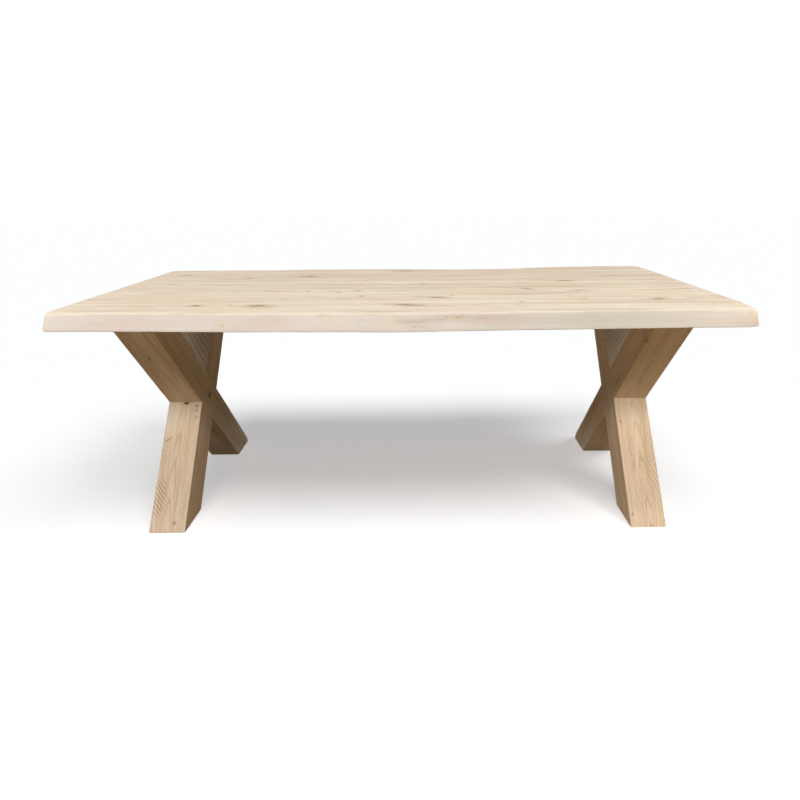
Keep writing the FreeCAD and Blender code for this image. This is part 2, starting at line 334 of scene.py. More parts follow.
def open_knot(centre, normal, along, half_length, half_width, depth, seed):
    """Shallow irregular hollow where a knot's heart has crumbled."""
    normal = Vector(normal).normalized()
    along = Vector(along).normalized()
    across = normal.cross(along)
    bm = bmesh.new()
    bmesh.ops.create_icosphere(bm, subdivisions=3, radius=1.0)
    for v in bm.verts:
        rough = 1 + 0.35 * noise.noise(v.co * 2.3 + Vector((seed, seed * 0.7, 0)))
        v.co = v.co * rough
    place = Matrix([
        (a * half_length, b * half_width, c * depth, d)
        for a, b, c, d in zip(along, across, normal, centre)] + [(0, 0, 0, 1)])
    bm.transform(place)
    bmesh.ops.recalc_face_normals(bm, faces=bm.faces)
    return bm


# -------------------- marks in the wood

# A mark is its place in mm, its turn in degrees, its half length and half width in mm, how
# dark it is from 0 to 1, and how far the rings swerve round it in mm.

def top_mark(x, y, half_length, half_width, angle, dark, bend=0):
    """Mark in the top, its length along X before it is turned."""
    return (x, y, TABLE_TOP / MM), (0, 0, angle), half_length, half_width, dark, bend


def beam_mark(
        x_middle, direction, side, across, along, half_length, half_width, angle, dark, bend=0):
    """Mark in a beam, on its front face or on one of its sides, its length along the beam."""
    axes = beam_axes(x_middle, direction)
    if side == "front":
        place = axes @ Vector((across * MM, -BEAM_HALF, along * MM))
        plane = Matrix(((0, 1, 0), (0, 0, 1), (1, 0, 0)))
    else:
        place = axes @ Vector((side * BEAM_HALF, across * MM, along * MM))
        plane = Matrix(((0, 0, 1), (0, 1, 0), (1, 0, 0)))
    turn = (axes.to_3x3() @ plane @ Matrix.Rotation(math.radians(angle), 3, "Z")).to_euler()
    degrees = [math.degrees(a) for a in turn]
    return [c / MM for c in place], degrees, half_length, half_width, dark, bend


# Knots of the top: x, y, half length, half width, angle, darkness, swerve.
TOP_KNOTS = [
    (-15, 389, 46, 12, 0, 0.80, 6), (-609, 193, 24, 10, 6, 0.55, 8),
    (-389, 241, 24, 13, -8, 0.80, 9), (-891, 289, 30, 13, -8, 0.40, 6),
    (575, 80, 30, 9, 5, 0.85, 8), (54, 18, 15, 9, 0, 0.50, 5), (-612, -376, 17, 12, 0, 0.75, 8),
    (-429, -386, 34, 15, 0, 0.66, 11), (8, -387, 48, 16, -15, 0.60, 12),
    (100, -261, 30, 10, -10, 0.68, 8), (407, -101, 22, 9, -24, 0.66, 7),
    (775, -313, 24, 15, 25, 0.56, 10), (895, -291, 13, 8, 10, 0.40, 4),
    (351, -343, 8, 8, 0, 0.55, 4), (572, -139, 24, 9, 4, 0.42, 8),
    (773, 199, 30, 12, 8, 0.32, 6), (-464, -110, 8, 7, 0, 0.55, 4),
    (-329, -124, 7, 6, 0, 0.45, 3), (-224, -149, 8, 8, 0, 0.50, 4),
    (-163, -118, 7, 7, 0, 0.45, 3), (-142, -229, 8, 8, 0, 0.55, 4),
    (33, -235, 7, 8, 0, 0.50, 4), (148, -220, 6, 7, 0, 0.40, 3), (-168, -9, 7, 7, 0, 0.30, 3),
    (-849, 48, 13, 8, -10, 0.38, 4), (-718, 40, 9, 6, 0, 0.35, 3), (408, 46, 12, 8, 0, 0.28, 3),
    (513, -244, 6, 6, 0, 0.35, 3), (-514, -368, 10, 7, 30, 0.35, 3),
]

# Mineral and sap streaks of the top: x, y, half length, half width, angle, darkness.
TOP_STREAKS = [
    (-637, 176, 125, 12, 6, 0.30), (859, -133, 125, 9, 7, 0.52), (930, -121, 55, 10, 5, 0.72),
    (-788, -367, 190, 9, 0, 0.36), (469, -305, 90, 5, 0, 0.40), (547, -304, 22, 7, 0, 0.60),
    (359, -86, 60, 9, -20, 0.34), (429, -202, 150, 17, 10, 0.30), (60, -249, 70, 11, -14, 0.28),
    (-139, 19, 290, 9, -2, 0.26), (-466, -124, 130, 11, -3, 0.24), (-51, -126, 65, 9, 4, 0.20),
    (-294, -229, 45, 9, -4, 0.22), (-917, -58, 62, 9, -3, 0.26), (-877, -185, 100, 9, -3, 0.24),
    (80, -392, 70, 8, -12, 0.24),
]

# Changes of tint in the top: x, y, half length, half width, strength, tint. The three wide
# shade tints over the back half darken the top towards the back, partly as wood tone and partly
# as painted shade.
TOP_TINTS = [
    (0, 70, 430, 26, 0.25, "chalk"), (-700, -260, 260, 30, 0.35, "straw"),
    (-350, -40, 300, 26, 0.30, "shade"), (-500, 260, 420, 60, 0.35, "shade"),
    (420, 330, 430, 70, 0.30, "shade"), (-100, 470, 900, 60, 0.35, "shade"),
    (300, -20, 260, 24, 0.30, "rose"), (-150, 150, 300, 26, 0.30, "rose"),
    (700, 30, 240, 30, 0.40, "straw"), (250, -330, 300, 40, 0.35, "chalk"),
    (820, -230, 200, 26, 0.35, "straw"), (-250, -330, 360, 40, 0.30, "chalk"),
    (640, -420, 330, 40, 0.30, "chalk"), (-30, -160, 200, 22, 0.30, "chalk"),
    (450, 200, 260, 30, 0.25, "chalk"),
]

# Changes of tint in the front edge: x, z, half length, half height, strength, tint.
EDGE_TINTS = [
    (-498, 728, 20, 14, 0.45, "edge straw"), (-200, 738, 60, 20, 0.28, "edge straw"),
    (-40, 738, 40, 24, 0.26, "edge straw"), (140, 746, 48, 9, 0.52, "edge straw"),
    (30, 738, 70, 8, 0.40, "edge shade"), (250, 738, 110, 16, 0.40, "edge rose"),
    (-780, 735, 200, 26, 0.40, "edge rose"), (-370, 735, 90, 24, 0.40, "edge rose"),
    (640, 738, 320, 34, 0.75, "edge grey"), (960, 736, 70, 30, 0.30, "edge rose"),
]

# Pin knots in the front edge: x, z, half length, half height, darkness.
EDGE_KNOTS = [
    (118, 747, 5, 3, 0.26), (149, 746, 6, 3, 0.28), (160, 750, 5, 3, 0.22),
    (-497, 727, 6, 3, 0.22), (100, 742, 14, 2.5, 0.20), (214, 744, 12, 2.5, 0.16),
    (-225, 752, 16, 2, 0.14), (-91, 756, 22, 2, 0.14), (40, 724, 22, 2.5, 0.20),
    (-110, 741, 24, 2, 0.12), (300, 752, 20, 2, 0.12),
]


def marks_between(marks, low_y, high_y):
    """Marks of the top whose middle lies on a board or within 12 mm of it."""
    return [top_mark(*m) for m in marks if low_y - 12 < m[1] < high_y + 12]


def edge_mark(x, z, half_length, half_height, strength):
    """Mark in the front live edge, its middle 14 mm behind the edge's foremost point."""
    return (x, FRONT / MM + 14, z), (90, 0, 0), half_length, half_height, strength, 0


# -------------------- oak

def growth_group():
    """Growth rings, pores and rays of one oak trunk, with X along its pith."""
    tree = bpy.data.node_groups.new("Oak growth", "ShaderNodeTree")
    tree.interface.new_socket("Vector", in_out="INPUT", socket_type="NodeSocketVector")
    for name in ("Ring width", "Wander", "Swerve"):
        tree.interface.new_socket(name, in_out="INPUT", socket_type="NodeSocketFloat")
    for name in ("Rings", "Pores", "Rays", "Bands", "Lines", "Hue"):
        tree.interface.new_socket(name, in_out="OUTPUT", socket_type="NodeSocketFloat")
    given = add(tree, "NodeGroupInput")
    # The trunk's slow sweep: one bend in half a metre along it, one in 120 mm across.
    stretched = add(tree, "ShaderNodeVectorMath", MULTIPLY, {
        0: given.outputs["Vector"], 1: (2.0, 8.0, 8.0)})
    sweep = add(tree, "ShaderNodeTexNoise", None, {
        "Vector": stretched, "Scale": 1.0, "Detail": 2.0, "Roughness": 0.5})
    centred = add(tree, "ShaderNodeVectorMath", {"operation": "SUBTRACT"}, {
        0: sweep.outputs["Color"], 1: (0.5, 0.5, 0.5)})
    swept = add(tree, "ShaderNodeVectorMath", {"operation": "SCALE"}, {
        0: centred, "Scale": given.outputs["Wander"]})
    bent = add(tree, "ShaderNodeVectorMath", {"operation": "ADD"}, {
        0: given.outputs["Vector"], 1: swept})
    # Short waves in the fibres, 70 mm long and a millimetre high.
    short = add(tree, "ShaderNodeVectorMath", MULTIPLY, {
        0: given.outputs["Vector"], 1: (14.0, 55.0, 55.0)})
    waves = add(tree, "ShaderNodeTexNoise", None, {
        "Vector": short, "Scale": 1.0, "Detail": 3.0, "Roughness": 0.55})
    ripple = add(tree, "ShaderNodeVectorMath", {"operation": "SCALE"}, {
        0: waves.outputs["Color"], "Scale": 4.0 * MM})
    rippled = add(tree, "ShaderNodeVectorMath", {"operation": "ADD"}, {0: bent, 1: ripple})
    across = add(tree, "ShaderNodeVectorMath", MULTIPLY, {
        0: rippled, 1: (0.0, 1.0, 1.0)})
    radius = add(tree, "ShaderNodeVectorMath", {"operation": "LENGTH"}, {
        0: across}).outputs["Value"]
    swerved = add(tree, "ShaderNodeMath", {"operation": "ADD"}, {
        0: radius, 1: given.outputs["Swerve"]})
    years = add(tree, "ShaderNodeMath", {"operation": "DIVIDE"}, {
        0: swerved, 1: given.outputs["Ring width"]})
    # Good and lean years come in runs of about four.
    runs = add(tree, "ShaderNodeTexNoise", {"noise_dimensions": "1D"}, {
        "W": years, "Scale": 0.27, "Detail": 1.0})
    lean_years = add(tree, "ShaderNodeMath", {"operation": "MULTIPLY_ADD"}, {
        0: runs.outputs["Fac"], 1: 2.4, 2: years})
    year = add(tree, "ShaderNodeMath", {"operation": "FRACT"}, {0: lean_years})
    # Earlywood is a thin dark line, then the latewood pales and closes a little darker.
    ring = add(tree, "ShaderNodeValToRGB", None, {"Fac": year})
    stops = ring.color_ramp.elements
    stops[0].position, stops[0].color = 0.0, (0.55, 0.55, 0.55, 1)
    stops[1].position, stops[1].color = 1.0, (0.30, 0.30, 0.30, 1)
    for position, value in ((0.10, 1.0), (0.30, 0.22), (0.62, 0.0)):
        stops.new(position).color = (value, value, value, 1)
    # Rays are thin sheets that face the pith, seen as pale flecks on quartered faces. They lie in
    # a space of length, radius and bearing round the pith: 18 mm long, 7 mm high, and 1 mm thick
    # where they are 60 mm from the pith.
    split = add(tree, "ShaderNodeSeparateXYZ", None, {0: rippled})
    bearing = add(tree, "ShaderNodeMath", {"operation": "ARCTAN2"}, {
        0: split.outputs["Y"], 1: split.outputs["Z"]})
    round_pith = add(tree, "ShaderNodeCombineXYZ", None, {
        "X": split.outputs["X"], "Y": radius, "Z": bearing})
    # The pores are 10 mm long and drawn 0.9 mm wide, three times the real ones, so that they
    # show. Bands of paler and redder wood are 40 mm wide and over half a metre long, dark mineral
    # lines 12 mm apart and 0.4 m long, and rosy wood turns to straw colour once in a third of a
    # metre.
    patterns = {}
    for name, space, stretch, detail, roughness in (
            ("Pores", given.outputs["Vector"], (95.0, 1100.0, 1100.0), 2.0, 0.6),
            ("Rays", round_pith, (55.0, 140.0, 60.0), 1.0, 0.5),
            ("Bands", rippled, (1.7, 25.0, 25.0), 4.0, 0.66),
            ("Lines", rippled, (2.6, 85.0, 85.0), 2.0, 0.5),
            ("Hue", rippled, (3.2, 16.0, 16.0), 2.0, 0.5)):
        stretched = add(tree, "ShaderNodeVectorMath", MULTIPLY, {
            0: space, 1: stretch})
        pattern = add(tree, "ShaderNodeTexNoise", None, {
            "Vector": stretched, "Scale": 1.0, "Detail": detail, "Roughness": roughness})
        patterns[name] = pattern.outputs["Fac"]
    for name, low_limit, high_limit in (
            ("Pores", 0.50, 0.66), ("Rays", 0.60, 0.70), ("Lines", 0.58, 0.74)):
        patterns[name] = add(tree, "ShaderNodeMapRange", EASED, {
            "Value": patterns[name], "From Min": low_limit, "From Max": high_limit})
    # Most pores lie in the earlywood.
    in_early = add(tree, "ShaderNodeMath", {"operation": "MULTIPLY_ADD"}, {
        0: ring.outputs["Color"], 1: 0.75, 2: 0.25})
    patterns["Pores"] = add(tree, "ShaderNodeMath", MULTIPLY, {
        0: patterns["Pores"], 1: in_early})
    patterns["Rings"] = ring.outputs["Color"]
    add(tree, "NodeGroupOutput", None, patterns)
    return tree


GROWTH = growth_group()
# The reach at which a change of tint is gone, 1 at its outline.
TINT_REACH = 1.2


def mark_frame(tree, where, mark):
    """Place in a mark's own frame, 1 at its outline."""
    place, degrees, half_length, half_width = mark[:4]
    return add(tree, "ShaderNodeMapping", {"vector_type": "TEXTURE"}, {
        "Vector": where,
        "Location": [c * MM for c in place],
        "Rotation": [math.radians(d) for d in degrees],
        "Scale": (half_length * MM, half_width * MM, 0.05)})


def mark_reach(tree, where, mark):
    """Distance from a mark's middle, 1 at its outline."""
    near = mark_frame(tree, where, mark)
    return add(tree, "ShaderNodeVectorMath", {"operation": "LENGTH"}, {0: near}).outputs["Value"]


def saw_lines(tree, where, patch):
    """Lines of a saw inside a patch, turned by its slant from straight across it."""
    mark, slant, spacing, strength = patch
    half_length, half_width = mark[2:4]
    lean, rate = math.radians(slant), 2 * math.pi / spacing
    near = mark_frame(tree, where, mark)
    phase = add(tree, "ShaderNodeVectorMath", {"operation": "DOT_PRODUCT"}, {
        0: near, 1: (half_length * math.cos(lean) * rate, half_width * math.sin(lean) * rate, 0)})
    wave = add(tree, "ShaderNodeMath", {"operation": "SINE"}, {0: phase.outputs["Value"]})
    line = add(tree, "ShaderNodeMapRange", EASED, {
        "Value": wave, "From Min": 0.1, "From Max": 1.0, "To Max": strength})
    reach = add(tree, "ShaderNodeVectorMath", {"operation": "LENGTH"}, {0: near}).outputs["Value"]
    inside = add(tree, "ShaderNodeMapRange", EASED, {
        "Value": reach, "From Min": 0.6, "From Max": 1.1, "To Min": 1.0, "To Max": 0.0})
    return add(tree, "ShaderNodeMath", MULTIPLY, {0: line, 1: inside})


def oak(
        name, finish, pith, turn, height, ring_width, wander, tone, knots, streaks, tints=(),
        sawn=()):
    """Oak cut from its own trunk: pith in mm and its turn in radians, height up the trunk in m."""
    material = bpy.data.materials.new(name)
    tree = bare_tree(material)
    place = add(tree, "ShaderNodeTexCoord").outputs["Object"]
    turned = add(tree, "ShaderNodeMapping", {"vector_type": "TEXTURE"}, {
        "Vector": place, "Location": [c * MM for c in pith], "Rotation": turn})
    trunk = add(tree, "ShaderNodeVectorMath", {"operation": "ADD"}, {0: turned, 1: (height, 0, 0)})
    # The marks' outlines wander 4 mm in and out, and fine saw lines a third as far.
    rough = add(tree, "ShaderNodeTexNoise", None, {
        "Vector": place, "Scale": 60.0, "Detail": 3.0})
    centred = add(tree, "ShaderNodeVectorMath", {"operation": "SUBTRACT"}, {
        0: rough.outputs["Color"], 1: (0.5, 0.5, 0.5)})
    uneven, steady = [add(tree, "ShaderNodeVectorMath", {"operation": "MULTIPLY_ADD"}, {
        0: centred, 1: (reach, reach, reach), 2: place}) for reach in (9 * MM, 3 * MM)]
    # What the marks do: how far the rings swerve, how dark a heart is and how stained the wood.
    # Each effect is full up to one reach from the mark's middle and gone at another.
    marked = {"swerve": 0.0, "heart": 0.0, "stain": 0.0}
    effects_of = [(m, (("swerve", 0.2, 3.4, m[5] * MM), ("heart", 0.35, 1.15, m[4]),
                       ("stain", 0.8, 2.6, m[4] * 0.5))) for m in knots]
    effects_of += [(m, (("stain", 0.1, 1.5, m[4]),)) for m in streaks]
    for mark, effects in effects_of:
        reach = mark_reach(tree, uneven, mark)
        for effect, full_to, gone_at, most in effects:
            share = add(tree, "ShaderNodeMapRange", EASED, {
                "Value": reach, "From Min": full_to, "From Max": gone_at,
                "To Min": most, "To Max": 0.0})
            joined = "ADD" if effect == "swerve" else "MAXIMUM"
            marked[effect] = add(tree, "ShaderNodeMath", {"operation": joined}, {
                0: share, 1: marked[effect]})
    for patch in sawn:
        # Coarse lines wander more than fine ones.
        lines = saw_lines(tree, uneven if patch[2] > 12 else steady, patch)
        marked["stain"] = add(tree, "ShaderNodeMath", {"operation": "MAXIMUM"}, {
            0: lines, 1: marked["stain"]})
    growth = add(tree, "ShaderNodeGroup", {"node_tree": GROWTH}, {
        "Vector": trunk, "Ring width": ring_width * MM, "Wander": wander * MM,
        "Swerve": marked["swerve"]})
    # Colour: bands at the bottom, then layers of hue, rings, rays, pores, lines, tints and marks.
    shade = add(tree, "ShaderNodeMath", {"operation": "ADD"}, {
        0: growth.outputs["Bands"], 1: tone})
    banded = add(tree, "ShaderNodeValToRGB", None, {"Fac": shade})
    stops = banded.color_ramp.elements
    stops[0].position, stops[0].color = 0.33, linear(finish["warm"])
    stops[1].position, stops[1].color = 0.67, linear(finish["pale"])
    stops.new(0.5).color = linear(finish["main"])
    layers = []
    for tint, start, end in (("rose", 0.50, 0.68), ("straw", 0.50, 0.32)):
        layers.append((tint, add(tree, "ShaderNodeMapRange", EASED, {
            "Value": growth.outputs["Hue"], "From Min": start, "From Max": end,
            "To Max": finish["hue change"]})))
    for tint, pattern in (
            ("early", "Rings"), ("ray", "Rays"), ("pore", "Pores"), ("stain", "Lines")):
        layers.append((tint, add(tree, "ShaderNodeMath", MULTIPLY, {
            0: growth.outputs[pattern], 1: finish[pattern]})))
    facing = add(tree, "ShaderNodeSeparateXYZ", None, {
        0: add(tree, "ShaderNodeNewGeometry").outputs["Normal"]})
    if "face" in finish:
        # The sloping live edge, facing front or back, is darkened as painted shade, and its arris
        # is paled, partly as rubbed wear and partly as a painted highlight. The sawn ends and the
        # underside keep the wood's own colour.
        outwards = add(tree, "ShaderNodeMath", {"operation": "ABSOLUTE"}, {0: facing.outputs["Y"]})
        face = add(tree, "ShaderNodeMapRange", EASED, {
            "Value": outwards, "From Min": 0.75, "From Max": 0.866,
            "To Max": finish["face painted shade strength"]})
        arris_wear_and_highlight = add(tree, "ShaderNodeMapRange", EASED, {
            "Value": facing.outputs["Z"], "From Min": 0.55, "From Max": 0.70,
            "To Max": finish["arris wear and highlight strength"]})
        not_flat = add(tree, "ShaderNodeMapRange", EASED, {
            "Value": facing.outputs["Z"], "From Min": 0.90, "From Max": 0.995,
            "To Min": 1.0, "To Max": 0.0})
        arris = add(tree, "ShaderNodeMath", MULTIPLY, {0: arris_wear_and_highlight, 1: not_flat})
        layers += [("face", face), ("arris", arris)]
    for mark, tint in tints:
        amount = add(tree, "ShaderNodeMapRange", EASED, {
            "Value": mark_reach(tree, uneven, mark), "From Min": 0.3, "From Max": TINT_REACH,
            "To Min": mark[4], "To Max": 0.0})
        # The sawn tint is paler sawn wood and also painted light on the shaded face above the lap.
        if tint == "sawn":
            # The front face alone, not the sides of the beam beside it.
            front = add(tree, "ShaderNodeMapRange", EASED, {
                "Value": facing.outputs["Y"], "From Min": -0.30, "From Max": -0.60})
            amount = add(tree, "ShaderNodeMath", MULTIPLY, {0: amount, 1: front})
        layers.append((tint, amount))
    layers += [("stain", marked["stain"]), ("heart", marked["heart"])]
    colour = banded
    for tint, amount in layers:
        colour = add(tree, "ShaderNodeMix", {"data_type": "RGBA"}, {
            0: amount, MIX_UNDER: colour, MIX_OVER: linear(finish[tint])}).outputs[MIX_RESULT]
    # Pores and earlywood lie a tenth of a millimetre deeper than the latewood.
    dips = add(tree, "ShaderNodeMath", {"operation": "MULTIPLY_ADD"}, {
        0: growth.outputs["Rings"], 1: 0.45, 2: growth.outputs["Pores"]})
    bump = add(tree, "ShaderNodeBump", {"invert": True}, {
        "Height": dips, "Strength": finish["bump"], "Distance": 0.25 * MM})
    roughness = add(tree, "ShaderNodeMapRange", None, {
        "Value": dips, "From Min": 0.0, "From Max": 1.3,
        "To Min": finish["smooth"], "To Max": finish["rough"]})
    shader = add(tree, "ShaderNodeBsdfPrincipled", None, {
        "Base Color": colour, "Roughness": roughness, "Normal": bump,
        "IOR": 1.47, "Specular IOR Level": finish["gloss"]})
    add(tree, "ShaderNodeOutputMaterial", None, {"Surface": shader})
    return material


# Limed oak: the top was sanded and rubbed with white oil, which fills the pores, pales the
# wood to cream and leaves it matt.
LIMED = {
    "main": "#e8d9c4", "pale": "#f2e7d6", "warm": "#d6c0a5", "early": "#c2a685",
    "ray": "#f4ecdf", "pore": "#c4a987", "stain": "#a4845f", "heart": "#86633f",
    # face darkens the sloping live edge as painted shade; arris pales its upper arris, partly as
    # rubbed wear and partly as a painted highlight; shade darkens the back of the top, partly as
    # wood tone and partly as painted shade.
    "face": "#cdc7c1", "arris": "#dcd4c8", "rose": "#e3c9b4", "straw": "#ebdcb8",
    "chalk": "#f3ebdc", "shade": "#d3bea4", "edge straw": "#d6c6a2", "edge rose": "#cbb1a4",
    "edge grey": "#bcb6a8", "edge shade": "#b39d84", "Rings": 0.42, "Rays": 0.30, "Pores": 0.45,
    "Lines": 0.50, "hue change": 0.45, "face painted shade strength": 0.85, "arris wear and highlight strength": 0.70,
    "bump": 0.25, "smooth": 0.56, "rough": 0.75, "gloss": 0.35}

# Raw oak: the beams were planed and sanded and left bare, so they keep the wood's own tan
# colour, with thin darker rings and a dry, matt face.
RAW_LEFT = {
    "main": "#d4c1a9", "pale": "#e1d1bf", "warm": "#c4aa90", "early": "#a4855f",
    "ray": "#e5d6c4", "pore": "#987955", "stain": "#8c6d4a", "heart": "#4a3624",
    # sawn is the pale tint above the lap: greyer sawn wood, and painted light there.
    "rose": "#d6b9a4", "straw": "#d9c49e", "sawn": "#e2dacd", "Rings": 0.45, "Rays": 0.30,
    "Pores": 0.36, "Lines": 0.20, "hue change": 0.35, "bump": 0.4, "smooth": 0.75,
    "rough": 0.95, "gloss": 0.08}
# The right trestle's oak is paler and yellower than the left's.
RAW_RIGHT = dict(
    RAW_LEFT, main="#e3cdb2", pale="#eedcc4", warm="#d4b998", ray="#efe0c8", early="#b08f66",
    rose="#e2c4aa", straw="#e6cfa6")


# -------------------- steel

def steel(name, base, dark, metallic, roughness, scale, depth):
    """Steel with clouds in its skin, so many a metre, and a grit finer than half a millimetre."""
    material = bpy.data.materials.new(name)
    tree = bare_tree(material)
    place = add(tree, "ShaderNodeTexCoord").outputs["Object"]
    clouds = add(tree, "ShaderNodeTexNoise", None, {
        "Vector": place, "Scale": scale, "Detail": 5.0, "Roughness": 0.6})
    colour = add(tree, "ShaderNodeValToRGB", None, {"Fac": clouds.outputs["Fac"]})
    stops = colour.color_ramp.elements
    stops[0].position, stops[0].color = 0.3, linear(dark)
    stops[1].position, stops[1].color = 0.7, linear(base)
    grit = add(tree, "ShaderNodeTexNoise", None, {
        "Vector": place, "Scale": 2500.0, "Detail": 2.0})
    rough = add(tree, "ShaderNodeMapRange", None, {
        "Value": clouds.outputs["Fac"], "To Min": roughness - 0.1, "To Max": roughness + 0.1})
    bump = add(tree, "ShaderNodeBump", None, {
        "Height": grit.outputs["Fac"], "Strength": depth, "Distance": 0.1 * MM})
    shader = add(tree, "ShaderNodeBsdfPrincipled", None, {
        "Base Color": colour, "Metallic": metallic, "Roughness": rough, "Normal": bump})
    add(tree, "ShaderNodeOutputMaterial", None, {"Surface": shader})
    return material


# Hot-rolled strip, brushed with a black enamel: near black, a soft sheen, fine grit.
PLATE_STEEL = steel("Black enamelled steel strip", "#2b2b2d", "#1d1d1f", 0.0, 0.5, 40.0, 0.35)
# Bright zinc plate on pressed and turned steel: grey, slightly blue, cloudy.
ZINC_STEEL = steel("Zinc-plated steel", "#b9bcc0", "#9a9da2", 1.0, 0.36, 180.0, 0.15)
# Blackened steel of the lap screws: near black, a dull metal sheen. Their black also stands in
# for the shade in the counterbores round them, as painted shade.
BLACK_STEEL = steel("Blackened steel", "#2a2826", "#171615", 1.0, 0.5, 180.0, 0.15)


def dress(node, material):
    """Give a steel node of the model its material."""
    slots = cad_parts[node].data.materials
    for i in range(len(slots)):
        slots[i] = material


# -------------------- boards of the top

UP = Vector((0, 0, 1))
# Each board's trunk: pith to the back and above the board's top, in mm, turns about Z and
# about Y in degrees, ring width in mm, and how pale the board is against the others.
BOARDS = [
    ("front_live_edge_board", 30, -75, 0.5, 0.7, 3.4, 0.02),
    ("inner_board_1", -10, -60, -0.5, 0.9, 3.0, 0.00),
    ("inner_board_2", 20, -110, 0.4, -0.8, 2.8, 0.04),
    ("inner_board_3", -35, -50, 0.3, 0.6, 3.2, -0.02),
    ("inner_board_4", 15, -70, -0.4, -1.0, 2.8, 0.03),
    ("inner_board_5", 30, -80, 0.5, 0.7, 3.0, -0.04),
    ("inner_board_6", -25, -55, -0.4, 0.8, 3.3, 0.00),
    ("back_live_edge_board", -35, -65, 0.4, -0.7, 3.1, -0.06),
]
# Live edges: side, hollows as x and reach in m and depth in mm, and worn corners as end, and
# reach and depth in mm.
LIVE_EDGES = {
    "front_live_edge_board": (
        -1, [(0.14, 0.035, 2.2), (0.22, 0.02, 1.6), (-0.36, 0.03, 1.8)], [(1, 30, 5)]),
    "back_live_edge_board": (
        1, [(-0.6, 0.04, 2.0), (0.45, 0.03, 2.2)], [(1, 30, 2.5), (-1, 20, 1)]),
}
# How far the trunks' sweep goes from side to side, in mm.
BOARD_WANDER = 14.0
BEAM_WANDER = 10.0
# A knot this dark has a crumbled heart, over this share of its length and width.
CRUMBLED_FROM = 0.5
HEART_SHARE = 0.55


def crumbled_knots(piece, marks, normal, seed):
    """Sink the hearts of the dark knots into a piece, half a millimetre to a millimetre deep."""
    for index, (place, degrees, half_length, half_width, dark, _) in enumerate(marks):
        if dark < CRUMBLED_FROM:
            continue
        turn = Euler([math.radians(d) for d in degrees]).to_matrix()
        depth = (0.5 + 1.1 * (dark - CRUMBLED_FROM)) * MM
        hollow = object_from(open_knot(
            Vector(place) * MM, normal, turn @ Vector((1, 0, 0)), half_length * HEART_SHARE * MM,
            half_width * HEART_SHARE * MM, depth, seed * 10 + index), "hollow")
        carve(piece, hollow, "DIFFERENCE")
        drop(hollow)


def make_boards():
    """Wear, mark and colour the boards of the top."""
    for number, (node, pith_y, pith_z, yaw, pitch, ring_width, tone) in enumerate(BOARDS):
        low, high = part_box(node)
        low_y, high_y = low.y / MM, high.y / MM
        board = closed_copy(node)
        inside = [top_mark(*m) for m in TOP_KNOTS if low_y + m[3] < m[1] < high_y - m[3]]
        if node in LIVE_EDGES:
            side, hollows, corners = LIVE_EDGES[node]
            skin = live_edge_skin(node, side, number + 1, hollows, corners)
            crumbled_knots(skin, inside, UP, number)
            carve(board, skin, "INTERSECT")
            drop(skin)
        else:
            crumbled_knots(board, inside, UP, number)
        knots = marks_between(TOP_KNOTS, low_y, high_y)
        tints = [(top_mark(x, y, half_length, half_width, 0, strength), tint)
                 for x, y, half_length, half_width, strength, tint in TOP_TINTS
                 if low_y - TINT_REACH * half_width < y < high_y + TINT_REACH * half_width]
        if node == "front_live_edge_board":
            knots += [edge_mark(*m) for m in EDGE_KNOTS]
            tints += [(edge_mark(*m[:5]), m[5]) for m in EDGE_TINTS]
        material = oak(
            "Limed oak, sanded and white-oiled, " + node.replace("_", " "), LIMED,
            (0, (low_y + high_y) / 2 + pith_y, TABLE_TOP / MM + pith_z),
            (0, math.radians(pitch), math.radians(yaw)), number * 3.1 + 5, ring_width,
            BOARD_WANDER, tone, knots, marks_between(TOP_STREAKS, low_y, high_y), tints)
        finish_piece(board, node, material)


def finish_piece(piece, node, material):
    """Give a worn piece its material and shading, and put it in its node's place."""
    piece.data.materials.clear()
    piece.data.materials.append(material)
    for face in piece.data.polygons:
        face.material_index = 0
    smooth_by_angle(piece)
    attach(piece, "root")
    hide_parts(node)


# -------------------- trestles

# Each layer's trunk: pith towards +X and towards the back from the layer's middle, in mm,
# its tilts towards the back and towards -X in degrees, and its ring width in mm.
LAYER_TRUNKS = {
    "left_rising": {
        "whole": (-62, 10, -1.0, -4.2, 3.4), "core": (-4, -12, 2.4, 0.4, 4.2),
        "foot": (48, -30, 1.2, 1.6, 3.0), "arm": (30, 20, -1.5, 1.0, 3.6)},
    "left_falling": {
        "whole": (-36, 26, 1.0, 0.5, 3.6), "core": (66, -24, -0.8, 0.3, 3.4),
        "foot": (25, -25, 2.0, -1.2, 3.0), "arm": (-45, -20, 1.6, 1.0, 3.4)},
    "right_rising": {
        "whole": (-30, -25, 1.4, 1.4, 3.4), "core": (5, -14, 2.2, -0.5, 4.2),
        "foot": (60, 10, -1.0, 4.2, 3.2), "arm": (-30, 20, -1.5, 1.0, 3.6)},
    "right_falling": {
        "whole": (38, 28, -1.0, 0.5, 3.4), "core": (-72, -20, 0.8, 0.3, 3.4),
        "foot": (-35, -25, 1.8, -1.0, 3.2), "arm": (20, -18, -2.2, 1.2, 3.6)},
}
# Knots of the beams: face, mm towards +X, mm up along the beam from the lap, half length, half
# width, angle, darkness, swerve.
BEAM_KNOTS = {
    "left_rising": [
        ("front", 41, -68, 4, 3.4, 0, 0.80, 3), ("front", 43, -84, 3.6, 3, 0, 0.74, 3),
        ("front", 46, -112, 5, 3, 0, 0.40, 4), ("front", 22, -491, 5, 4, 0, 0.55, 4),
        ("front", 3, -57, 4.5, 9, 0, 0.97, 2)],
    "left_falling": [("front", -13, 341, 12, 3.5, 12, 0.42, 4)],
    "right_rising": [
        ("front", -45, -144, 4, 3, 0, 0.44, 4), ("front", -18, -300, 20, 4, 8, 0.22, 8),
        ("front", -50, -477, 3.5, 3, 0, 0.45, 3)],
    "right_falling": [("front", -57, 415, 6, 3.5, 0, 0.48, 3)],
}
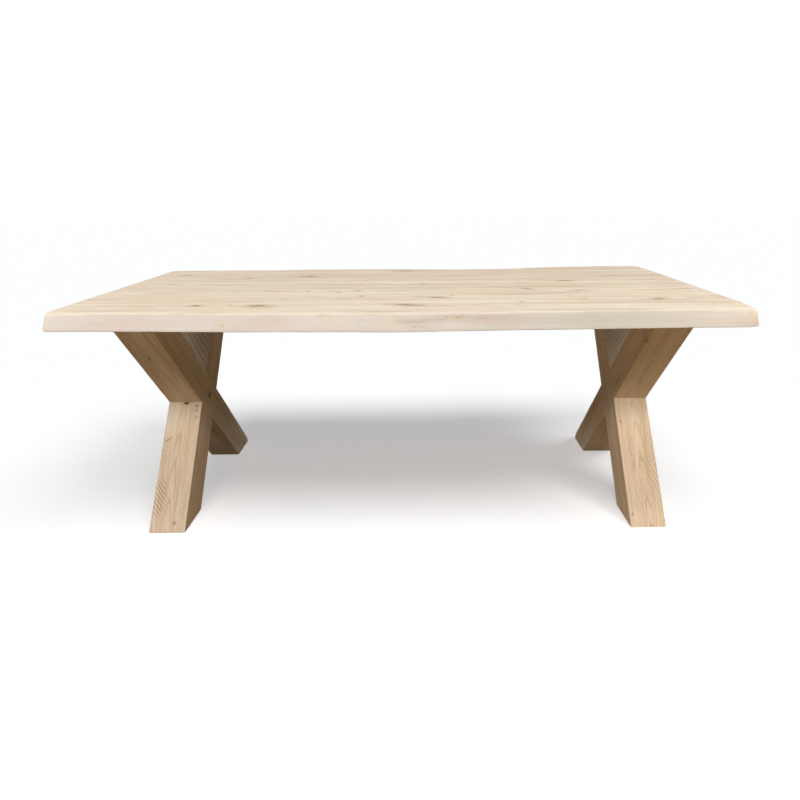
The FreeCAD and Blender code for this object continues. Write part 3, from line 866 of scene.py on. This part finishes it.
# The ring that the lap screw's iron leaves in the wood, which also paints the shade of the
# screw's counterbore, then stains and darker streaks.
SCREW_STAIN_AND_SHADE = (1, 0, -1, 13, 12, 0, 0.85)
BEAM_STREAKS = {
    "left_rising": [("front", 0, -230, 110, 4.0, 1, 0.24), ("front", 6, -330, 90, 3.0, 2, 0.26)],
    "left_falling": [
        ("front", -34, 250, 90, 3, 2, 0.24), ("front", 8, 180, 60, 4, -2, 0.20), SCREW_STAIN_AND_SHADE],
    "right_rising": [
        ("front", -22, -215, 26, 5, 4, 0.16), ("front", -26, -255, 20, 5, -8, 0.15),
        ("front", -20, -200, 90, 4.0, 1, 0.08)],
    "right_falling": [
        ("front", -4, 254, 55, 6, 2, 0.30), ("front", -3, 178, 40, 6, -3, 0.30), SCREW_STAIN_AND_SHADE],
}
# Slanting marks of the saw: face, mm towards +X and up along the beam, half length, half width,
# slant in degrees, spacing in mm, strength.
SAW_MARKS = {
    "left_rising": [
        ("front", -44, -405, 80, 24, 52, 10.0, 0.62), ("front", -42, -235, 60, 18, 60, 10.0, 0.22),
        ("front", 0, 290, 300, 90, 58, 15.0, 0.38)],
    "right_rising": [
        ("front", 40, -320, 180, 26, 66, 13.0, 0.26), ("front", -10, -420, 60, 26, 78, 13.0, 0.14),
        ("front", 0, 290, 300, 90, 58, 15.0, 0.26)],
}
# The rising beams' front face above the lap was left as the saw made it, paler and greyer. Its
# pale tint is also painted light on this shaded face above the lap.
SAWN_FACE_AND_PAINTED_LIGHT = ("front", 0, 290, 420, 160, 0, 0.95)
# Drying checks and an open joint on the front faces: mm towards +X and up along the beam, from
# and to, width, depth.
BEAM_CHECKS = {"left_rising": [(-54, -204, -24, -184, 2.6, 9), (-6, -55.5, 13, -54.5, 5, 14)]}
# How far the toes are blunted in mm: the rising beams' front ones hardly, the falling beams'
# rear ones well rounded.
TOES = {"rising": 3, "falling": 34}


def make_beam(side, x_middle, slope, direction, seed):
    """Wear, mark and colour the layers of one beam, and open its checks."""
    beam = side + "_" + slope
    axes = beam_axes(x_middle, direction)
    bar = worn_bar(x_middle, direction, seed, TOES[slope])
    front = axes.to_3x3() @ Vector((0, -1, 0))
    knots = [beam_mark(x_middle, direction, *m) for m in BEAM_KNOTS[beam]]
    streaks = [beam_mark(x_middle, direction, *m) for m in BEAM_STREAKS[beam]]
    sawn = [(beam_mark(x_middle, direction, *m[:5], 0, 0), *m[5:])
            for m in SAW_MARKS.get(beam, [])]
    tints = [(beam_mark(x_middle, direction, *SAWN_FACE_AND_PAINTED_LIGHT), "sawn")] if slope == "rising" else []
    for x_from, from_lap, x_to, to_lap, width, depth in BEAM_CHECKS.get(beam, []):
        ends = [axes @ Vector((x * MM, -BEAM_HALF, u * MM))
                for x, u in ((x_from, from_lap), (x_to, to_lap))]
        wedge = object_from(crack(*ends, front, width * MM, depth * MM, seed), "drying_check")
        carve(bar, wedge, "DIFFERENCE")
        drop(wedge)
    crumbled_knots(bar, knots, front, seed)
    for number, (part, (pith_x, pith_y, tilt_back, tilt_side, ring_width)) in enumerate(
            LAYER_TRUNKS[beam].items()):
        node = "%s_beam_%s_layer" % (beam, part)
        low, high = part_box(node)
        layer = closed_copy(node)
        carve(layer, bar, "INTERSECT")
        # A trunk lies along X, so its frame is turned up along the beam first.
        middle = axes @ Vector(((low.x + high.x) / 2 - x_middle + pith_x * MM, pith_y * MM, 0))
        turn = axes.to_3x3() @ Matrix.Rotation(-math.pi / 2, 3, "Y") @ Euler(
            (0, math.radians(tilt_side), math.radians(tilt_back))).to_matrix()
        material = oak(
            "Raw oak, planed and sanded, %s beam %s" % (beam.replace("_", " "), part),
            RAW_LEFT if side == "left" else RAW_RIGHT, [c / MM for c in middle], turn.to_euler(),
            seed * 7.3 + number * 1.9, ring_width, BEAM_WANDER, 0.03 - 0.02 * number,
            knots, streaks, tints, sawn)
        finish_piece(layer, node, material)
    drop(bar)


def make_trestles():
    """Make the beams of both trestles and colour their steel parts."""
    seed = 0
    for side, x_middle in TRESTLES.items():
        for slope, direction in (("rising", 1), ("falling", -1)):
            seed += 1
            make_beam(side, x_middle, slope, direction, seed)
        dress(side + "_mounting_plate", PLATE_STEEL)
        for part in ("plate_screws", "top_bolts", "bolt_washers", "threaded_inserts"):
            dress(side + "_" + part, ZINC_STEEL)
        dress(side + "_lap_screw", BLACK_STEEL)


make_boards()
make_trestles()


# -------------------- floor, light and camera

def seen_directly(tree):
    """1 for a ray from the eye, a gloss or a glass, 0 for light on its way between things."""
    path = add(tree, "ShaderNodeLightPath")
    seen = path.outputs["Is Camera Ray"]
    for ray in ("Is Glossy Ray", "Is Transmission Ray"):
        seen = add(tree, "ShaderNodeMath", {"operation": "ADD", "use_clamp": True}, {
            0: seen, 1: path.outputs[ray]})
    return seen


def make_floor():
    """Pale seamless floor that shows white and keeps the table's soft shadow."""
    bm = bmesh.new()
    bmesh.ops.create_circle(bm, cap_ends=True, segments=96, radius=30.0)
    floor = object_from(bm, "studio_floor")
    material = bpy.data.materials.new("Pale studio floor")
    tree = bare_tree(material)
    seen = seen_directly(tree)
    colour = add(tree, "ShaderNodeMix", {"data_type": "RGBA"}, {
        0: seen, MIX_UNDER: linear(FLOOR_BOUNCE), MIX_OVER: linear(FLOOR_WHITE)})
    diffuse = add(tree, "ShaderNodeBsdfDiffuse", None, {"Color": colour.outputs[MIX_RESULT]})
    glow_strength = add(tree, "ShaderNodeMath", MULTIPLY, {0: seen, 1: FLOOR_GLOW})
    glow = add(tree, "ShaderNodeEmission", None, {
        "Color": linear(GLOW_COLOUR), "Strength": glow_strength})
    both = add(tree, "ShaderNodeAddShader", None, {0: diffuse, 1: glow})
    add(tree, "ShaderNodeOutputMaterial", None, {"Surface": both})
    floor.data.materials.append(material)
    return floor


def make_world():
    """White to the eye, a plain warm light on the table, as in a room with pale wood in it."""
    world = bpy.data.worlds.new("Studio")
    bpy.context.scene.world = world
    tree = bare_tree(world)
    seen = seen_directly(tree)
    strength = add(tree, "ShaderNodeMapRange", None, {
        "Value": seen, "To Min": ROOM_LIGHT, "To Max": 1.0})
    colour = add(tree, "ShaderNodeMix", {"data_type": "RGBA"}, {
        0: seen, MIX_UNDER: linear(ROOM_COLOUR), MIX_OVER: linear("#ffffff")})
    background = add(tree, "ShaderNodeBackground", None, {
        "Color": colour.outputs[MIX_RESULT], "Strength": strength})
    add(tree, "ShaderNodeOutputWorld", None, {"Surface": background})


def towards(elevation, bearing):
    """Direction to a lamp; bearing 0 is the front and 90 is +X."""
    up, round_z = math.radians(elevation), math.radians(bearing)
    level = math.cos(up)
    return Vector((math.sin(round_z) * level, -math.cos(round_z) * level, math.sin(up)))


def make_lamp(name, kind, power, elevation, bearing, distance):
    """Lamp that points half a metre up, under the middle of the front edge."""
    lamp = bpy.data.lights.new(name, kind)
    lamp.energy = power
    thing = bpy.data.objects.new(name, lamp)
    bpy.context.scene.collection.objects.link(thing)
    source = towards(elevation, bearing)
    thing.location = LAMP_AIM + source * distance
    thing.rotation_euler = source.to_track_quat("Z", "Y").to_euler()
    return thing


def softbox(name, colour, power, elevation, bearing, distance, width, height=None):
    """Round softbox, or an oblong one where it has a height."""
    thing = make_lamp(name, "AREA", power, elevation, bearing, distance)
    thing.data.color = linear(colour)[:3]
    thing.data.shape = "RECTANGLE" if height else "DISK"
    thing.data.size = width
    if height:
        thing.data.size_y = height
    return thing


def light_only(lamps, floor, state):
    """Keep some lamps on the floor alone (INCLUDE), or off it (EXCLUDE)."""
    lit = bpy.data.collections.new("Floor, light state " + state)
    lit.objects.link(floor)
    lit.collection_objects[0].light_linking.link_state = state
    for lamp in lamps:
        lamp.light_linking.receiver_collection = lit


LAMP_AIM = Vector((0, -0.5, 0.5))
# The floor's white and its glow, which only direct rays see, and the tan that it bounces.
FLOOR_WHITE = "#fdfdfd"
FLOOR_BOUNCE = "#ac9269"
FLOOR_GLOW = 0.46
GLOW_COLOUR = "#f8fbff"
# The room's own light on the table, then the colours of the lamps.
ROOM_LIGHT = 0.03
ROOM_COLOUR = "#ffeacc"
WARM_LIGHT = "#fff3e2"
COOL_LIGHT = "#f8fbff"
PALE_LIGHT = "#fff6ea"
floor = make_floor()
make_world()
# Two lamps side by side throw the soft shadow on the floor, as one long softbox would, and the
# others light the table alone, so that they throw no second shadow.
strip_right = make_lamp("Ceiling strip, right", "SUN", 1.035, 54.5, 51.8, 4)
strip_left = make_lamp("Ceiling strip, left", "SUN", 0.92, 66.2, -5.2, 4)
for strip in (strip_right, strip_left):
    strip.data.angle = math.radians(30)
light_only([strip_right, strip_left], floor, "INCLUDE")
top_lamp = make_lamp("Top softbox", "SUN", 0.60, 80, 12, 4)
top_lamp.data.angle = math.radians(14)
light_only([
    top_lamp,
    softbox("Front softbox", COOL_LIGHT, 230, 44, -10, 6.5, 1.7),
    softbox("Left softbox", WARM_LIGHT, 34, 33, -50, 4, 0.9),
    softbox("Right softbox", WARM_LIGHT, 47, 33, 50, 4, 0.9),
    softbox("Left wall", PALE_LIGHT, 20, 0, -28, 5, 1.6, 0.9),
    softbox("Right wall", PALE_LIGHT, 8, 0, 28, 5, 1.6, 0.9),
    softbox("Rear left softbox", COOL_LIGHT, 38, 30, -115, 5, 1.5),
    softbox("Rear right softbox", COOL_LIGHT, 52, 30, 115, 5, 1.5),
    softbox("Rear wall", PALE_LIGHT, 15, 0, 180, 5, 1.6, 0.9)], floor, "EXCLUDE")

camera = bpy.data.cameras.new("Camera")
camera.sensor_fit = "HORIZONTAL"
camera.sensor_width = 36.0
camera.lens = 26.2028
camera.shift_x = -0.03743
camera.shift_y = 0.00880
camera_object = bpy.data.objects.new("Camera", camera)
camera_object.location = (0.04945, -2.08662, 1.07201)
camera_object.rotation_euler = Euler([math.radians(a) for a in (69.64156, 0.25082, -0.87431)])
bpy.context.scene.collection.objects.link(camera_object)
bpy.context.scene.camera = camera_object
bpy.context.scene.view_settings.view_transform = "Standard"
